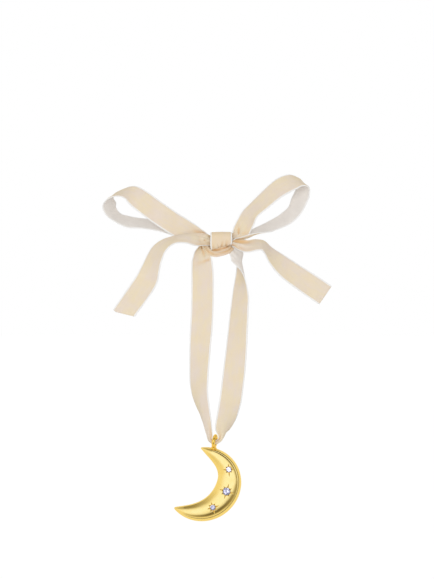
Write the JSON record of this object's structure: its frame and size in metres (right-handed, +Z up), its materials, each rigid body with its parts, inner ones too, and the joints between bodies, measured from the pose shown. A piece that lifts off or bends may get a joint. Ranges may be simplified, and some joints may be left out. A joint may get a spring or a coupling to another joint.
{
  "type": "moon christmas ornament",
  "caption": "Polished crescent moon pendant with star-set clear stones and a soldered ring, hung on a velvet ribbon that is tied in a bow.",
  "frame": {"origin": "hanging point between the two strands of ribbon, just under the knot", "axes": "+Z up along the ribbon, +Y from the moon's domed face to its flat back, so the face looks towards -Y"},
  "size_m": [0.1017, 0.021, 0.1544],
  "materials": {
    "gold": "polished gold plate",
    "crystal": "clear cut crystal",
    "velvet": "cream cut-pile velvet with woven white edges"
  },
  "bodies": {
    "ribbon": {"ribbon_gather": "velvet", "left_strand": "velvet", "right_strand": "velvet", "half_knot": "velvet", "knot_core": "velvet", "knot_band": "velvet", "left_loop": "velvet", "right_loop": "velvet", "left_tail": "velvet", "right_tail": "velvet"},
    "pendant": {"moon_body": "gold", "hanging_ring": "gold", "upper_stone": "crystal", "centre_stone": "crystal", "lower_stone": "crystal"}
  },
  "joints": [
    {"name": "pendant_swing", "type": "hinge", "parent": "ribbon", "child": "pendant", "pos_m": [-0.00079, 0, -0.08184], "axis": [0.9649, -0.225, -0.1356], "range_deg": [-60, 60]}
  ]
}
